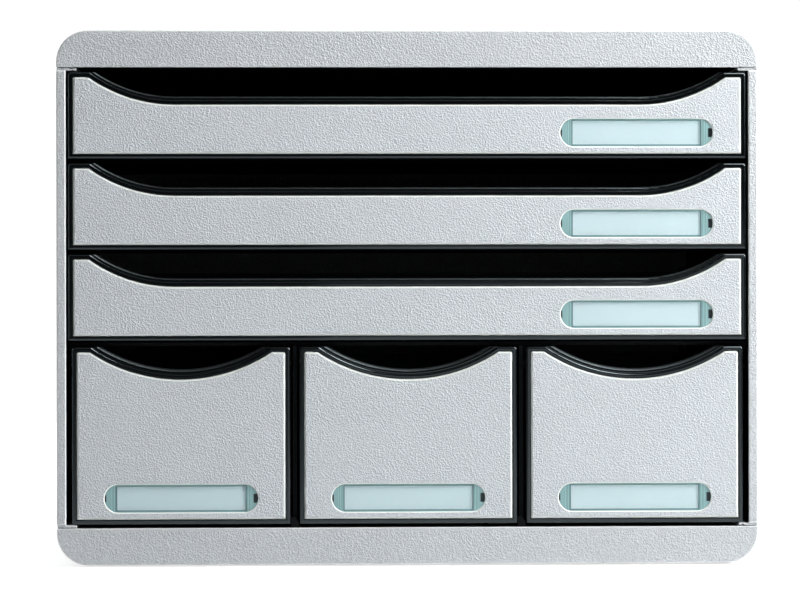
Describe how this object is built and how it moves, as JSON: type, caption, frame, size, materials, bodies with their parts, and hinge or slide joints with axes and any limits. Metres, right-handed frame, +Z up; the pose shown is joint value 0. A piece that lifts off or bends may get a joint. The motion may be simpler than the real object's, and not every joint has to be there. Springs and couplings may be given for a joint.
{
  "type": "desktop drawer set",
  "caption": "Landscape desktop drawer set in moulded plastic: flat full-width drawers over small deep ones, scooped fronts, label windows, rounded caps.",
  "frame": {"origin": "middle of the footprint, on the surface that the pads stand on", "axes": "+X to the right seen from the front, the drawers face and open towards -Y, +Z up"},
  "size_m": [0.355, 0.27, 0.271],
  "materials": {
    "casing_grey": "fine-grained moulded polystyrene, light grey",
    "plate_grey": "fine-grained moulded polystyrene, light grey, bevelled edges",
    "tray_black": "smooth moulded polystyrene, black, satin gloss",
    "inner_black": "smooth moulded polystyrene, black",
    "lens_turquoise": "clear moulded plastic tinted turquoise",
    "card_white": "plain uncoated card",
    "pad_rubber": "soft rubber"
  },
  "bodies": {
    "casing": {"top_cap": "casing_grey", "bottom_cap": "casing_grey", "left_side_wall": "casing_grey", "right_side_wall": "casing_grey", "back_panel": "casing_grey", "left_runner_panel": "inner_black", "right_runner_panel": "inner_black", "top_deck": "inner_black", "divider_deck": "inner_black", "bottom_deck": "inner_black", "left_partition": "inner_black", "right_partition": "inner_black", "foot_pads": "pad_rubber"},
    "upper_flat_drawer": {"upper_flat_tray": "tray_black", "upper_flat_face_plate": "plate_grey", "upper_flat_label_lens": "lens_turquoise", "upper_flat_label_card": "card_white"},
    "middle_flat_drawer": {"middle_flat_tray": "tray_black", "middle_flat_face_plate": "plate_grey", "middle_flat_label_lens": "lens_turquoise", "middle_flat_label_card": "card_white"},
    "lower_flat_drawer": {"lower_flat_tray": "tray_black", "lower_flat_face_plate": "plate_grey", "lower_flat_label_lens": "lens_turquoise", "lower_flat_label_card": "card_white"},
    "left_small_drawer": {"left_small_tray": "tray_black", "left_small_face_plate": "plate_grey", "left_small_label_lens": "lens_turquoise", "left_small_label_card": "card_white"},
    "centre_small_drawer": {"centre_small_tray": "tray_black", "centre_small_face_plate": "plate_grey", "centre_small_label_lens": "lens_turquoise", "centre_small_label_card": "card_white"},
    "right_small_drawer": {"right_small_tray": "tray_black", "right_small_face_plate": "plate_grey", "right_small_label_lens": "lens_turquoise", "right_small_label_card": "card_white"}
  },
  "joints": [
    {"name": "upper_flat_slide", "type": "slide", "parent": "casing", "child": "upper_flat_drawer", "axis": [0, -1, 0], "range_m": [0, 0.194]},
    {"name": "middle_flat_slide", "type": "slide", "parent": "casing", "child": "middle_flat_drawer", "axis": [0, -1, 0], "range_m": [0, 0.194]},
    {"name": "lower_flat_slide", "type": "slide", "parent": "casing", "child": "lower_flat_drawer", "axis": [0, -1, 0], "range_m": [0, 0.194]},
    {"name": "left_small_slide", "type": "slide", "parent": "casing", "child": "left_small_drawer", "axis": [0, -1, 0], "range_m": [0, 0.194]},
    {"name": "centre_small_slide", "type": "slide", "parent": "casing", "child": "centre_small_drawer", "axis": [0, -1, 0], "range_m": [0, 0.194]},
    {"name": "right_small_slide", "type": "slide", "parent": "casing", "child": "right_small_drawer", "axis": [0, -1, 0], "range_m": [0, 0.194]}
  ]
}
